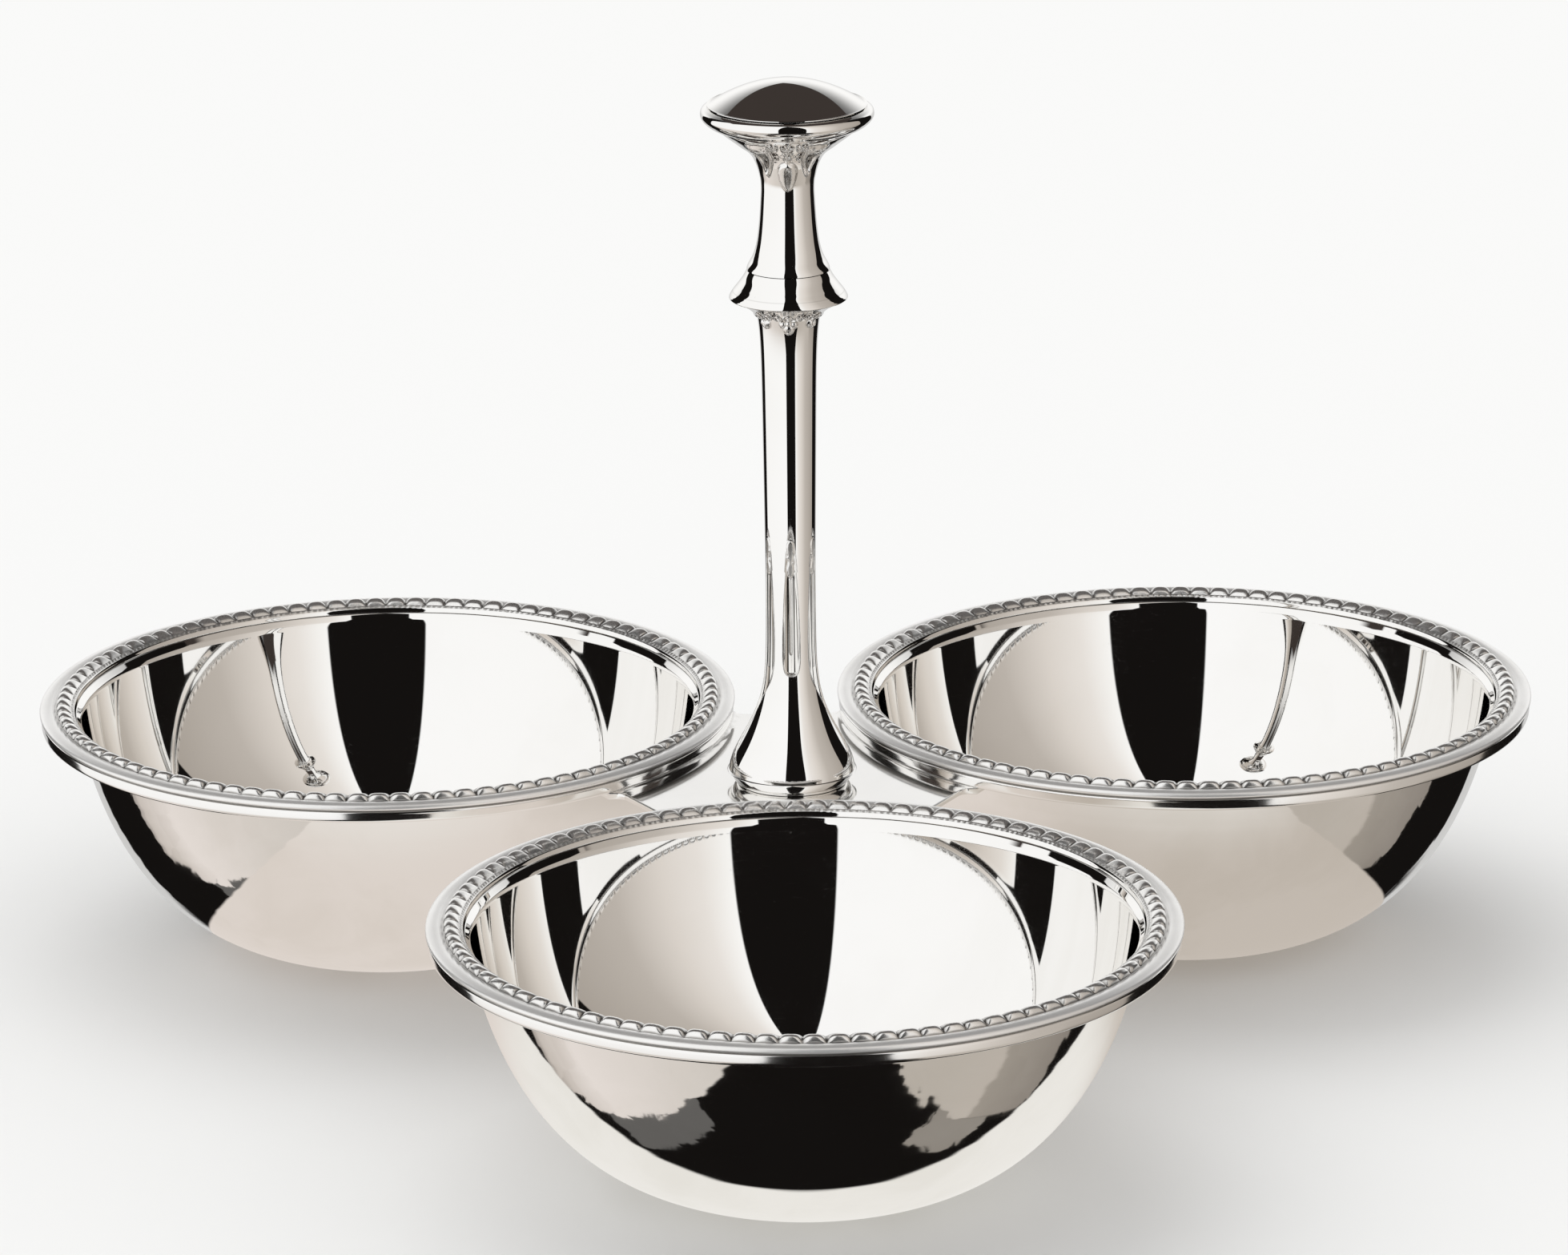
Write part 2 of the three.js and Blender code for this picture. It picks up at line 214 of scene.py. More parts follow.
# Studio: pale floor and soft light, with two white cards in front that leave a dark gap between them
studio = {
    "background": (0.948, 0.948, 0.94, 1),
    "floorSize": 12000,
    "floorColour": (0.86, 0.86, 0.852, 1),
    "skyStrength": 0.918,
    "sunStrength": 0.7, "sunAngle": 60, "sunTurn": (-24, -20, 0),
    "dark": (0.007, 0.006, 0.0055, 1),
    "ceiling": (0.046, 0.037, 0.033, 1),
    "ceilingSlope": (0.444, 0.884),  # it begins behind the dish and falls away to both sides
    "ceilingEdge": 0.008,
    "ceilingBehind": (0.06, 0.12),
    "backdrop": (1, 0.995, 0.985, 1),
    "gapMiddle": (5.5, 1),  # azimuth of the gap, 0 towards the viewer: level, and low down
    "gapHalf": (18.5, 32.5, 37),  # half width: level, below the first height, below the second
    "gapHeights": (-20, -33, -47),
    "cardEnds": ((-16, -123, 113), (30, -110, 100)),  # elevation, left end, right end
    "cardFoot": -55,  # lowest at 75 degrees to the side, and higher to both sides of that
    "footRise": (75, 42, 10),
    "levelCards": (  # azimuth and colour, above the horizon and a little below it
        (-124, (0.98, 0.975, 0.965)), (-13, (1, 1, 0.998)), (24, (0.99, 0.985, 0.97)),
        (36, (0.83, 0.79, 0.75)), (50, (0.73, 0.68, 0.63)), (70, (0.52, 0.475, 0.43)),
        (112, (0.38, 0.34, 0.30)),
    ),
    "lowCards": (  # the white table top before the dish
        (-126, (0.30, 0.265, 0.24)), (-118, (0.60, 0.545, 0.50)), (-100, (0.80, 0.74, 0.70)),
        (-60, (0.70, 0.65, 0.605)), (-38, (0.66, 0.615, 0.57)), (36, (0.50, 0.455, 0.405)),
        (66, (0.52, 0.475, 0.425)), (83, (0.53, 0.48, 0.43)), (85, (0.36, 0.325, 0.285)),
        (112, (0.28, 0.25, 0.22)),
    ),
    "lowStarts": (-17, -29),  # the level cards fade into the low ones
    "shade": (0.125, 0.12, 0.115, 1),  # a half-lit strip under the left card
    "shadeReach": (-108, -52, 9),  # left and right end, depth below the card
    "tongue": (0.29, 0.265, 0.235, 1),  # and one under the right card
    "tongueReach": (63, 98, 11),
    "backStarts": ((-16, -155, 150), (17, -133, 128)),  # as cardEnds; the backdrop is outside them
    "backDim": 0.15,
    "backDims": (12, 42),  # between these elevations
    "backLow": (-14, 9, 0.62, 1),  # the far table top is greyer than the backdrop above it
    "backFoot": (-36, -30),
    "edge": 0.4,  # half the width of every edge's blur
    "ragged": (8, 5, 4.2),  # steps in azimuth and elevation, and how far they shift an edge
    "raggedBelow": (-24, -32),
    "raggedTall": 0.45,  # share of the shift that edges take in elevation
    "fray": (55, 3, 0.6),  # noise: scale, detail, roughness
    "frayShare": 0.6,
    "standRadius": 122,  # a pale stand under the dish, in reflections only: a glowing patch of painted light
    "standEdge": 0.6,
    "standShift": (3, -8),
    # the stand's glow colours: painted light, brightest at the front, with painted shade at the right
    "standGlowLeft": (0.745, 0.68, 0.63, 1),
    "standGlowRight": (0.57, 0.515, 0.46, 1),
    "standGlowFront": (0.86, 0.84, 0.80, 1),
    "standToRight": (-20, 40),
    "standToFront": (0, -70),
}


def raggedDirection(s, direction, azimuth, elevation):
    # the low edges are stepped and frayed, as where papers meet on the table
    wide, tall, reach = s["ragged"]
    places = ((azimuth, wide), (elevation, tall))
    cell = [calc("FLOOR", calc("DIVIDE", *place)) for place in places]
    step = newNode("TexWhiteNoise", {"Vector": combined(*cell)}, "Value")
    fray = times(minus(noise(direction, *s["fray"]), 0.5), s["frayShare"])
    both = plus(minus(step, 0.5), fray)
    shift = times(both, fade(elevation, *s["raggedBelow"], 0, reach))
    return plus(azimuth, shift), plus(elevation, times(shift, s["raggedTall"]))


def between(s, azimuth, elevation, ends):
    # 1 between a left and a right end, whose azimuths change from one elevation to another
    (low, *starts), (high, *stops) = ends
    made = []
    for start, stop, shares in zip(starts, stops, ((0, 1), (1, 0))):
        line = fade(elevation, low, high, start, stop, "LINEAR")
        made.append(fade(minus(azimuth, line), -s["edge"], s["edge"], *shares))
    return times(*made)


def frontCards(s, azimuth, elevation):
    edge = s["edge"]
    near, far = s["gapHeights"][:2], s["gapHeights"][1:]
    nearHalf = fade(elevation, *near, *s["gapHalf"][:2], "LINEAR")
    farHalf = fade(elevation, *far, 0, s["gapHalf"][2], "LINEAR")
    middle = fade(elevation, *far, *s["gapMiddle"], "LINEAR")
    fromGap = calc("ABSOLUTE", minus(azimuth, middle))
    outsideGap = fade(minus(fromGap, calc("MAXIMUM", nearHalf, farHalf)), -edge, edge)
    side, width, rise = s["footRise"]
    away = calc("DIVIDE", minus(calc("ABSOLUTE", azimuth), side), width)
    overFoot = minus(elevation, plus(times(away, away, rise), s["cardFoot"]))
    aboveFoot = fade(overFoot, -edge, edge)
    within = times(between(s, azimuth, elevation, s["cardEnds"]), outsideGap, aboveFoot)
    low = fade(elevation, *s["lowStarts"])
    card = blendColour(low, ramp(azimuth, s["levelCards"]), ramp(azimuth, s["lowCards"]))
    look = blendColour(within, s["dark"], card)
    belowFoot = minus(1, aboveFoot)
    for name in ("shade", "tongue"):
        start, end, depth = s[name + "Reach"]
        left = fade(azimuth, start - edge, start + edge)
        right = fade(azimuth, end - edge, end + edge, 1, 0)
        over = fade(overFoot, -depth - edge, -depth + edge)
        look = blendColour(times(left, right, over, belowFoot), look, s[name])
    return look


def surroundings(s):
    # what the silver reflects, by direction
    direction = newNode("TexCoord", give="Generated")
    x, y, z = separated(direction)
    azimuth = calc("DEGREES", calc("ARCTAN2", x, times(y, -1)))
    elevation = calc("DEGREES", calc("ARCSINE", z))
    azimuth, elevation = raggedDirection(s, direction, azimuth, elevation)
    look = frontCards(s, azimuth, elevation)
    foot, low = (fade(elevation, *s[key]) for key in ("backFoot", "backLow"))
    light = fade(elevation, *s["backDims"], 1, s["backDim"])
    behindIt = minus(1, between(s, azimuth, elevation, s["backStarts"]))
    look = blendColour(times(foot, low, light, behindIt), look, s["backdrop"])
    along, across = s["ceilingSlope"]
    slope = plus(times(y, along), times(calc("ABSOLUTE", x), across))
    overhead = fade(minus(z, slope), -s["ceilingEdge"], s["ceilingEdge"])
    return blendColour(times(overhead, fade(y, *s["ceilingBehind"])), look, s["ceiling"])


def makeWorld(s):
    world = bpy.data.worlds.new("studio")
    scene.world = world
    world.cycles.sampling_method = "NONE"
    openTree(world).clear()
    seen = newNode("Background", {"Color": s["background"]})
    reflected = newNode("Background", {"Color": surroundings(s)})
    sky = newNode("Background", {"Color": (1, 1, 1, 1), "Strength": s["skyStrength"]})
    mirrorOrSky = mixShaders(newNode("LightPath", give="Is Glossy Ray"), sky, reflected)
    both = mixShaders(newNode("LightPath", give="Is Camera Ray"), mirrorOrSky, seen)
    newNode("OutputWorld", {"Surface": both}, None)


def makeFloor(s):
    half = s["floorSize"] / 2 * mm
    mesh = bpy.data.meshes.new("floor")
    corners = [(-half, -half, 0), (half, -half, 0), (half, half, 0), (-half, half, 0)]
    mesh.from_pydata(corners, [], [(0, 1, 2, 3)])
    floor = addObject("floor", mesh)
    material = bpy.data.materials.new("pale floor")
    material.cycles.emission_sampling = "NONE"
    openTree(material).clear()
    place = objectPlace()
    x, y, _ = separated(place)
    rear = blendColour(fade(x, *s["standToRight"]), s["standGlowLeft"], s["standGlowRight"])
    colour = blendColour(fade(y, *s["standToFront"]), rear, s["standGlowFront"])
    centre = (handleAxis[0] + s["standShift"][0], handleAxis[1] + s["standShift"][1], 0)
    out = newNode("VectorMath", {0: place, 1: centre}, "Value", operation="DISTANCE")
    beyond = fade(out, s["standRadius"] - s["standEdge"], s["standRadius"] + s["standEdge"])
    # the stand glows in reflections only: painted light, brighter in front, with painted shade towards the
    # right
    standGlow = mixShaders(beyond, newNode("Emission", {"Color": colour}), newNode("BsdfTransparent"))
    paper = newNode("BsdfDiffuse", {"Color": s["floorColour"]})
    both = mixShaders(newNode("LightPath", give="Is Glossy Ray"), paper, standGlow)
    newNode("OutputMaterial", {"Surface": both}, None)
    mesh.materials.append(material)


def makeLamp(s):
    data = bpy.data.lights.new("soft light", "SUN")
    data.energy = s["sunStrength"]
    data.angle = radians(s["sunAngle"])
    lamp = addObject("soft light", data)
    lamp.rotation_euler = [radians(angle) for angle in s["sunTurn"]]
    lamp.visible_glossy = False


makeCamera(view)
makeWorld(studio)
makeFloor(studio)
makeLamp(studio)
scene.view_settings.view_transform = "Standard"
print("camera, studio and floor set")


# Finishes: "metal" below 1 is a frosted plating, which scatters part of the light
silverColour = (0.95, 0.943, 0.93, 1)
finishes = {
    "mirror silver": {"rough": (0.015, 0.035), "haze": 0.6, "scratch": 0.12},
    "spun silver": {"rough": (0.02, 0.05), "haze": 1.6, "scratch": 0.08, "rings": 0.0015},
    "band silver": {"rough": (0.09, 0.18), "haze": 0.4, "scratch": 0.1},
    "satin silver": {
        "rough": (0.27, 0.36), "haze": 0.8, "scratch": 0.1, "wobble": 0.006, "grooves": 0.7, "metal": 0.72,
    },
    "lobe silver": {"rough": (0.19, 0.28), "haze": 0.6, "wobble": 0.012, "grooves": 0.9, "metal": 0.92},
    "grained silver": {"rough": (0.22, 0.4), "haze": 1, "wobble": 0.03, "grooves": 0.75, "metal": 0.88},
    "plate silver": {"rough": (0.06, 0.14), "haze": 0.6, "scratch": 0.2, "wobble": 0.002, "solder": 0.3},
    "handle silver": {"rough": (0.02, 0.05), "haze": 0.5, "scratch": 0.08, "grooves": 0.8, "cast": 0.16},
}
wear = {
    "cloud": (0.05, 4, 0.55, 0.4),  # noises: scale, detail, roughness, distortion
    "fine": (1.4, 3, 0.6),
    "wobble": (0.6, 3, 0.55),
    "rings": (0.9, 3, 0.6),
    "line": (1, 1, 0.4),
    "patch": (1, 1),
    "cloudFade": (0.38, 0.7),
    "hazeShares": (0.6, 0.4),  # of cloud and of fine
    "lineTurns": ((0, 0, 17), (64, 12, 48), (28, 71, 109)),  # directions of the polishing scratches
    "lineStretch": (0.045, 4.5, 0.9),
    "lineHalf": 0.003,
    "patchStretch": (0.03, 0.06, 0.05),
    "patchFade": (0.55, 0.68),
    "dulling": (0.93, 0.925, 0.91),
    "dullShare": 0.5,
    # colour of the darkened marks: painted shade and painted dark reflections, and darker in hollows
    "shadeAndHollowDarkColour": (0.10, 0.088, 0.075, 1),
}
steelLook = {
    "cloud": (0.8, 4, 0.6),
    "cloudFade": (0.3, 0.7),
    "rough": (0.28, 0.48),
    "colours": ((0.5, 0.49, 0.47, 1), (0.36, 0.34, 0.32, 1)),
    "pits": (6, 3),
    "pitDepth": 0.01,
}


def newMetal(name, metallic):
    material = bpy.data.materials.new(name)
    shader = openTree(material)["Principled BSDF"]
    fill(shader, {"Metallic": metallic})
    return material, shader


def addBump(shader, vector, look, depth):
    height = times(noise(vector, *look), depth)
    fill(shader, {"Normal": newNode("Bump", {"Height": height, "Distance": mm, "Strength": 1})})


def scratches(place):
    w = wear
    lines = 0
    for turn in w["lineTurns"]:
        along = noise(stretched(place, turn, w["lineStretch"]), *w["line"])
        line = fade(calc("ABSOLUTE", minus(along, 0.5)), 0, w["lineHalf"], 1, 0)
        patch = noise(stretched(place, turn, w["patchStretch"]), *w["patch"])
        lines = calc("MAXIMUM", lines, times(line, fade(patch, *w["patchFade"])))
    return lines


def silver(name, f):
    w = wear
    material, shader = newMetal(name, f.get("metal", 1))
    place = objectPlace()
    cloud = fade(noise(place, *w["cloud"]), *w["cloudFade"])
    fine = noise(place, *w["fine"])
    haze = plus(times(cloud, w["hazeShares"][0]), times(fine, w["hazeShares"][1]))
    rough = fade(times(haze, f["haze"]), 0, 1, *f["rough"], "LINEAR")
    if "scratch" in f:
        rough = plus(rough, times(scratches(place), f["scratch"]))
    for mark in ("solder", "cast"):
        if mark in f:
            rough = plus(rough, times(attribute(mark), f[mark]))
    dull = (*(part * share for part, share in zip(silverColour, w["dulling"])), 1)
    colour = blendColour(times(cloud, w["dullShare"] * f["haze"]), silverColour, dull)
    if "grooves" in f:
        # darkened by the per-point mask: painted shade and painted dark reflections, and darker in hollows
        colour = blendColour(times(attribute("groove"), f["grooves"]), colour, w["shadeAndHollowDarkColour"])
    fill(shader, {"Roughness": rough, "Base Color": colour})
    # no finish has both of these
    if "wobble" in f:
        addBump(shader, place, w["wobble"], f["wobble"])
    if "rings" in f:
        addBump(shader, combined(attribute("turnPath")), w["rings"], f["rings"])
    return material


def steel(name, k):
    material, shader = newMetal(name, 1)
    place = objectPlace()
    cloud = noise(place, *k["cloud"])
    rough = fade(cloud, *k["cloudFade"], *k["rough"])
    fill(shader, {"Roughness": rough, "Base Color": blendColour(cloud, *k["colours"])})
    addBump(shader, place, k["pits"], k["pitDepth"])
    return material


metals = {name: silver(name, f) for name, f in finishes.items()}
metals["plain steel"] = steel("plain steel", steelLook)
print("finishes made:", len(metals))


# Mesh helpers
def climb(value, start, length):
    # 0 up to the start, then evenly up to 1
    return np.clip((value - start) / length, 0, 1)


def paired(first, second):
    return np.stack([first, second], axis=1)


def pathLength(profile):
    return np.concatenate([[0], np.cumsum(np.linalg.norm(np.diff(profile, axis=0), axis=1))])


def smoothLine(points, count):
    # a soft curve through given points, with evenly spread steps
    points = np.array(points, float)
    chord = pathLength(points)
    slopes = np.gradient(points, chord, axis=0)
    steps = np.linspace(0, chord[-1], count)
    i = np.clip(np.searchsorted(chord, steps, side="right") - 1, 0, len(chord) - 2)
    span = (chord[i + 1] - chord[i])[:, None]
    t = (steps[:, None] - chord[i][:, None]) / span
    return (
        (2 * t**3 - 3 * t**2 + 1) * points[i]
        + (t**3 - 2 * t**2 + t) * span * slopes[i]
        + (3 * t**2 - 2 * t**3) * points[i + 1]
        + (t**3 - t**2) * span * slopes[i + 1]
    )


def joined(*stretches):
    # end to end, with a point that two stretches share kept once
    line = [stretches[0]]
    for stretch in stretches[1:]:
        stretch = np.array(stretch, float)
        if np.allclose(line[-1][-1], stretch[0], atol=1e-6):
            stretch = stretch[1:]
        line.append(stretch)
    return np.concatenate([np.array(part, float).reshape(-1, 2) for part in line])


def outwards(profile, ring):
    # unit normals of a profile that runs up the outside
    if ring:
        ahead = np.roll(profile, -1, axis=0) - np.roll(profile, 1, axis=0)
    else:
        ahead = np.gradient(profile, axis=0)
    ahead /= np.maximum(np.linalg.norm(ahead, axis=1), 1e-9)[:, None]
    return paired(ahead[:, 1], -ahead[:, 0])


def evenly(around):
    return np.linspace(0, 2 * pi, around, endpoint=False)


def swept(radius, angle, height):
    return np.stack(np.broadcast_arrays(radius * np.cos(angle), radius * np.sin(angle), height), axis=-1)


def turned(profile, around, relief=0, ring=False):
    # around is a number of even steps, or the angles themselves
    profile = np.array(profile, float)
    angle = evenly(around) if isinstance(around, int) else around
    normal = outwards(profile, ring)
    radius = profile[:, :1] + normal[:, :1] * relief
    height = profile[:, 1:] + normal[:, 1:] * relief
    return swept(radius, angle, height)


def skinFaces(rows, around, ring):
    i = np.arange(rows if ring else rows - 1)[:, None]
    j = np.arange(around)[None, :]
    up = (i + 1) % rows
    on = (j + 1) % around
    return np.stack([i * around + j, i * around + on, up * around + on, up * around + j], axis=-1)


def addPiece(name, grid, node, slot, faceMetals, axis=handleAxis, ring=True, sharp=None, **floats):
    # faceMetals is one metal, or a list of (metal, first row) in rising order; without ring the grid's
    # ends close on the axis; floats are values for each point, which the finishes read by name
    if isinstance(faceMetals, str):
        faceMetals = [(faceMetals, 0)]
    rows, around = grid.shape[:2]
    points = grid.reshape(-1, 3)
    faces = skinFaces(rows, around, ring)
    starts = [first for _, first in faceMetals]
    metalRow = np.searchsorted(starts, np.arange(len(faces)), side="right") - 1
    metalIndex = np.repeat(metalRow, around)
    faceList = faces.reshape(-1, 4).tolist()
    if not ring:
        foot = len(points)
        points = np.concatenate([points, [[0, 0, grid[0, 0, 2]], [0, 0, grid[-1, 0, 2]]]])
        last = (rows - 1) * around
        faceList += [(foot, (j + 1) % around, j) for j in range(around)]
        faceList += [(last + j, last + (j + 1) % around, foot + 1) for j in range(around)]
        metalIndex = np.concatenate([metalIndex, np.repeat(metalRow[[0, -1]], around)])
    points = points + [*axis, 0]
    mesh = bpy.data.meshes.new(name)
    mesh.from_pydata((points * mm).tolist(), [], faceList)
    for metal, _ in faceMetals:
        mesh.materials.append(metals[metal])
    mesh.polygons.foreach_set("material_index", metalIndex.astype(np.int32))
    for key, values in floats.items():
        layer = mesh.attributes.new(key, "FLOAT", "POINT")
        flat = np.zeros(len(points), np.float32)
        flat[: values.size] = values.reshape(-1)
        layer.data.foreach_set("value", flat)
    mesh.polygons.foreach_set("use_smooth", np.ones(len(mesh.polygons), bool))
    if sharp:
        mesh.set_sharp_from_angle(angle=radians(sharp))
    mesh.update()
    piece = addObject(name, mesh)
    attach(piece, "root")
    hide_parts(node)


def wave(position, lengths, seed):
    # seeded sum of sines: the uneven marks that a spinning tool leaves
    draw = np.random.default_rng(seed)
    total = np.zeros_like(position)
    for length in lengths:
        phase = draw.uniform(0, 2 * pi)
        total += np.sin(position * 2 * pi / length + phase) * draw.uniform(0.6, 1.2)
    return total / len(lengths)


def spread(*stretches):
    # steps in stretches of (start, end, count), each with its own spacing
    return np.unique(np.concatenate([np.linspace(*stretch) for stretch in stretches]).round(6))


# Bowls; heights in the dictionary are from the seam under the border
bowl = {
    "sheet": 0.9,
    "baseRadius": 13.2,
    "baseFlat": (0.4, 12.6, 14),  # first and last ring of the flat base, rings
    "mouthRadius": 57.3,
    "power": 2.42,
    "equatorRise": 25.5,  # the body would be widest this far above the seam, so its mouth still opens
    "shoulder": 0.9,
    "crease": -1.2,
    "flangeFoot": 58.15,
    "bandRadius": 64.7,
    "bandDrop": 2.2,
    "lip": ((-0.9, 0.25), (-0.675, 0.04), (-0.36, 0), (-0.12, 0.1), (-0.03, 0.3)),  # from the band's foot
    "bandTop": ((-0.08, -0.3), (-0.3, -0.08), (-0.45, -0.02)),  # from its radius and the seam
    "ledge": ((4.55, -0.02), (0.9, -0.02), (0.3, -0.03)),  # from the flange's foot
    "around": 240, "insideSteps": 76, "outsideSteps": 130,
    "rippleLengths": (9, 5.3, 3.4, 2.3),
    "ripple": 0.012,
    "marksFrom": (30, 20),  # the marks grow over this stretch of the profile
    "marksRadius": (20, 10),
    "marksTop": (3, 3),  # and end this far below the seam
    "dents": 0.02,
    "dentLength": 13,
}


def bodyLine(wall, bottom, top, steps):
    # a superellipse from the edge of the base up to the wall's radius, in even steps
    b = bowl
    equator = level["seam"] + b["equatorRise"]
    end = acos(((equator - top) / (equator - bottom)) ** (b["power"] / 2))
    reach = (wall - b["baseRadius"]) / sin(end) ** (2 / b["power"])
    turn = np.linspace(0, end, 600)
    out = np.sin(turn) ** (2 / b["power"])
    down = np.cos(turn) ** (2 / b["power"])
    line = paired(b["baseRadius"] + reach * out, equator - (equator - bottom) * down)
    path = pathLength(line)
    even = np.linspace(0, path[-1], steps)
    return paired(*(np.interp(even, path, values) for values in line.T))


def bowlProfile():
    # up the outside, round the turned-down band, over the flange and down the inside
    b = bowl
    seam = level["seam"]
    under = seam - b["sheet"]
    mouthRadius = b["mouthRadius"]
    wall = mouthRadius + b["sheet"]
    radius = b["bandRadius"]
    bandInside = radius - b["sheet"]
    shoulder = b["shoulder"]
    base = paired(np.linspace(*b["baseFlat"]), np.zeros(b["baseFlat"][2]))
    outside = bodyLine(wall - 0.16, 0, under - shoulder, b["outsideSteps"])
    bend = np.linspace(0.2, pi / 2, 6)
    corner = paired(wall + shoulder * (0.9 - np.cos(bend)), under - shoulder * (1 - np.sin(bend)))
    flange = [(wall + 2.5, under), (bandInside - 0.5, under), (bandInside, under - 0.4)]
    foot = seam - b["bandDrop"]
    lip = np.array(b["lip"]) + [radius, foot]
    band = [(radius - 0.06 * ((h - 0.45) ** 2), foot + b["bandDrop"] * h) for h in np.linspace(0.2, 0.8, 6)]
    top = np.array(b["bandTop"]) + [radius, seam]
    ledge = np.array(b["ledge"]) + [b["flangeFoot"], seam]
    mouth = seam + b["crease"]
    rise = np.linspace(1, 0, 6)
    flareReach = b["flangeFoot"] + 0.12 - mouthRadius
    flareRise = seam - 0.07 - mouth - 0.05
    flare = paired(mouthRadius + 0.05 + flareReach * rise, mouth + 0.07 + flareRise * rise)
    inside = bodyLine(mouthRadius, b["sheet"], mouth, b["insideSteps"])[::-1]
    inner = base[::-1] + [0, b["sheet"]]
    profile = joined(base, outside, corner, flange, lip, band, top, ledge, flare, inside, inner)
    groups = ((base, outside), (corner, flange), (lip, band, top))
    return profile, np.cumsum([sum(len(stretch) for stretch in group) for group in groups])


def makeBowl(side):
    b = bowl
    profile, counts = bowlProfile()
    seed = sides.index(side) + 11
    along = pathLength(profile)[:, None]
    angle = evenly(b["around"])
    outer = np.arange(len(profile))[:, None] < counts[0] - 1
    strength = outer * climb(profile[:, :1], *b["marksRadius"])
    strength = strength * climb(level["seam"] - profile[:, 1:], *b["marksTop"])
    strength = strength * (0.5 + 0.5 * climb(along, *b["marksFrom"]))
    marks = wave(along + 0 * angle, b["rippleLengths"], seed) * b["ripple"]
    marks = marks * (0.7 + 0.3 * np.sin(angle * 2 + seed))
    dents = np.sin(angle * 3 + seed) * np.sin(along / b["dentLength"] + seed) * b["dents"]
    relief = (marks - b["ripple"] + dents - b["dents"]) * strength
    rows = [("spun silver", 0), ("band silver", int(counts[1])), ("mirror silver", int(counts[2]) + 2)]
    addPiece(
        f"{side}_bowl", turned(profile, angle, relief), f"bowl_{side}", "polished_silver", rows,
        bowlAxes[side], ring=False, sharp=50, turnPath=along + 0 * angle,
    )


# Lobed border: a satin roll outside, a ring of radial lobes, and a fine grained line inside
border = {
    "foot": [(58.25, 0), (60.5, 0), (63.6, 0), (64.45, 0.02)],  # heights are from the seam
    "roll": [
        (64.78, 0.12), (64.96, 0.34), (65, 0.56), (64.92, 0.82), (64.66, 1.08), (64.22, 1.28), (63.68, 1.38),
        (63.15, 1.36), (62.68, 1.26), (62.34, 1.12), (62.12, 1), (61.98, 0.94),
    ],
    "rollSteps": 30,
    "crest": [
        (61.9, 0.98), (61.87, 1.32), (61.76, 1.7), (61.52, 2.02), (61.14, 2.2), (60.66, 2.2), (60.16, 2.05),
        (59.72, 1.8), (59.38, 1.5), (59.15, 1.24),
    ],
    "hollow": [
        (61.9, 0.96), (61.62, 0.94), (61.34, 0.94), (61.05, 0.96), (60.65, 1), (60.25, 1.06), (59.88, 1.12),
        (59.56, 1.18), (59.32, 1.22), (59.15, 1.22),
    ],
    "lobeSteps": 26,
    "grained": [(59.08, 1.18), (59, 1.2), (58.9, 1.16), (58.78, 1.05), (58.68, 0.92)],
    "slope": [(58.58, 0.86), (58.48, 0.7), (58.38, 0.42), (58.3, 0.08)],
    "lobes": 98, "perLobe": 16, "roundness": 2.1, "uneven": 0.08,
    "grain": 0.2, "grainCount": 330,
    "grainSpots": 7,  # steps in each grain's unevenness
    "innerFlankDarkening": (62.6, 0.15),  # darker on the roll's inner side: radius inside which it darkens, and by what share
}


def borderProfile():
    r = border
    roll = smoothLine(r["roll"], r["rollSteps"])
    lobes = smoothLine(r["crest"], r["lobeSteps"])
    stretches = (r["foot"], roll, lobes, r["grained"])
    return joined(*stretches, r["slope"]), np.cumsum([len(stretch) for stretch in stretches])


def makeBorder(side):
    r = border
    profile, counts = borderProfile()
    angle = evenly(r["lobes"] * r["perLobe"])
    draw = np.random.default_rng(sides.index(side) + 31)
    relief = np.zeros((len(profile), len(angle)))
    groove = np.zeros_like(relief)
    grains = np.arange(counts[2], counts[3])
    swell = np.sin(np.linspace(0.3, pi - 0.3, len(grains)))[:, None]
    bead = np.abs(np.sin(angle * r["grainCount"] / 2 + draw.uniform(0, 6, (len(grains), 1)) * 0.3))
    spots = np.arange(r["grainCount"] * r["grainSpots"])
    jitter = np.interp(angle * r["grainCount"], spots, draw.uniform(0.2, 1, len(spots)))
    relief[grains] = (bead * jitter - 0.5) * r["grain"] * swell
    # darker between the grains
    groove[grains] = np.clip(1 - bead * jitter * 1.6, 0, 1)
    grid = turned(profile, angle, relief, ring=True)

    start, end = counts[1], counts[2]
    share, groove[start:end] = lobeShare(angle, draw, end - start)
    low = turned(smoothLine(r["hollow"], r["lobeSteps"]), angle)
    grid[start:end] = grid[start:end] * (1 - share[..., None]) + low * share[..., None]
    flankRadius, flankDarkening = r["innerFlankDarkening"]
    # darker on the roll's inner flank
    groove[:start][profile[:start, 0] < flankRadius] = flankDarkening
    # painted shade: the flat underside under the roll and the roll's lowest rows are painted fully dark
    groove[: counts[0] + 2] = 1
    grid = grid + [0, 0, level["seam"]]
    names = ("satin silver", "lobe silver", "grained silver", "mirror silver")
    rows = list(zip(names, (0, *counts[1:].tolist())))
    addPiece(f"{side}_border", grid, f"border_{side}", "satin_silver", rows, bowlAxes[side], groove=groove)


